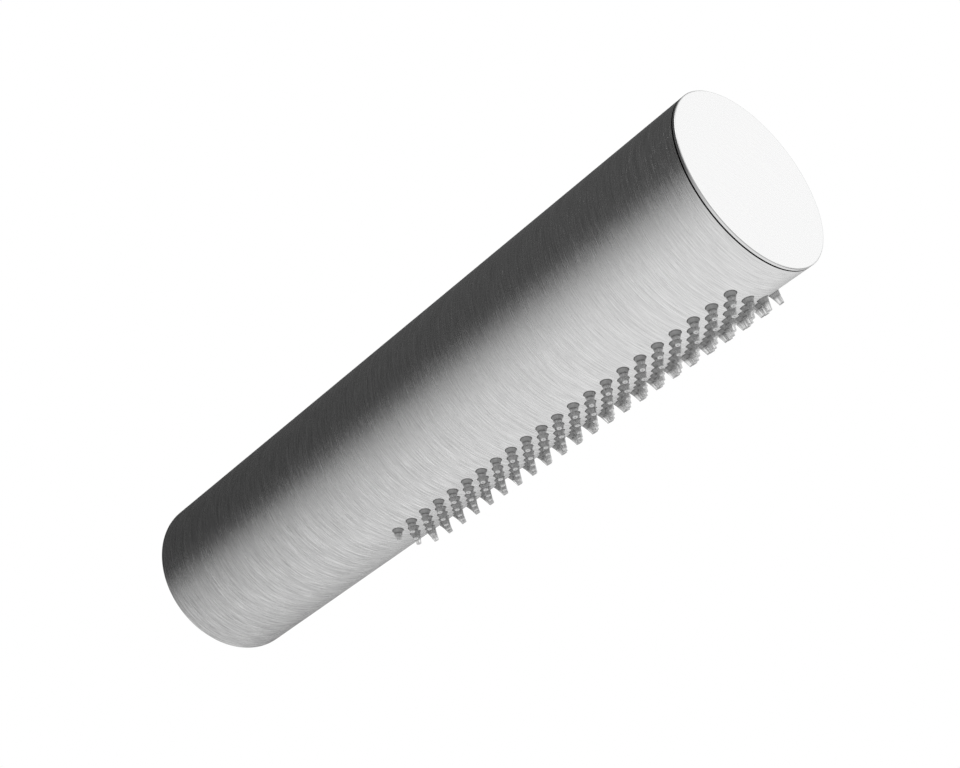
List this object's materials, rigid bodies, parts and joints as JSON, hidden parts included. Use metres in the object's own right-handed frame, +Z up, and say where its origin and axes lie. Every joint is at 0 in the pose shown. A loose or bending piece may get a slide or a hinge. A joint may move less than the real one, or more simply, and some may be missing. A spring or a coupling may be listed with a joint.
{
  "type": "wall shower head",
  "caption": "Horizontal tube shower head for a wall: brushed steel casing with soft nozzles underneath, an end cap with a shadow gap, and a threaded inlet.",
  "frame": {"origin": "centre of the tube's end on the wall, on the axis of the tube and of its threaded inlet", "axes": "+Y points into the wall, the tube runs towards -Y, +Z is up and the nozzles point down"},
  "size_m": [0.06, 0.284, 0.0642],
  "materials": {
    "brushed_tube": "stainless steel, brushed round the tube",
    "cap_steel": "fine satin stainless steel",
    "nozzle_silicone": "translucent grey silicone",
    "seal_rubber": "smooth black rubber",
    "gasket_foam": "closed-cell foam",
    "chamber_plastic": "moulded acetal",
    "saddle_plastic": "moulded nylon",
    "regulator_plastic": "moulded plastic",
    "inlet_brass": "turned brass",
    "filter_mesh": "woven steel mesh",
    "flange_aluminium": "turned aluminium",
    "screw_steel": "stainless steel"
  },
  "bodies": {
    "root": {"casing_tube": "brushed_tube", "end_cap": "cap_steel", "end_cap_seal": "seal_rubber", "nozzle_mat": "nozzle_silicone", "water_chamber": "chamber_plastic", "chamber_lid": "chamber_plastic", "rear_saddle": "saddle_plastic", "middle_saddle": "saddle_plastic", "front_saddle": "saddle_plastic", "inlet_nipple": "inlet_brass", "inlet_seal": "seal_rubber", "filter_screen": "filter_mesh", "flow_regulator": "regulator_plastic", "regulator_seal": "seal_rubber", "wall_flange": "flange_aluminium", "wall_gasket": "gasket_foam", "nut_washer": "screw_steel", "lock_nut": "inlet_brass", "set_screws": "screw_steel"}
  },
  "joints": []
}
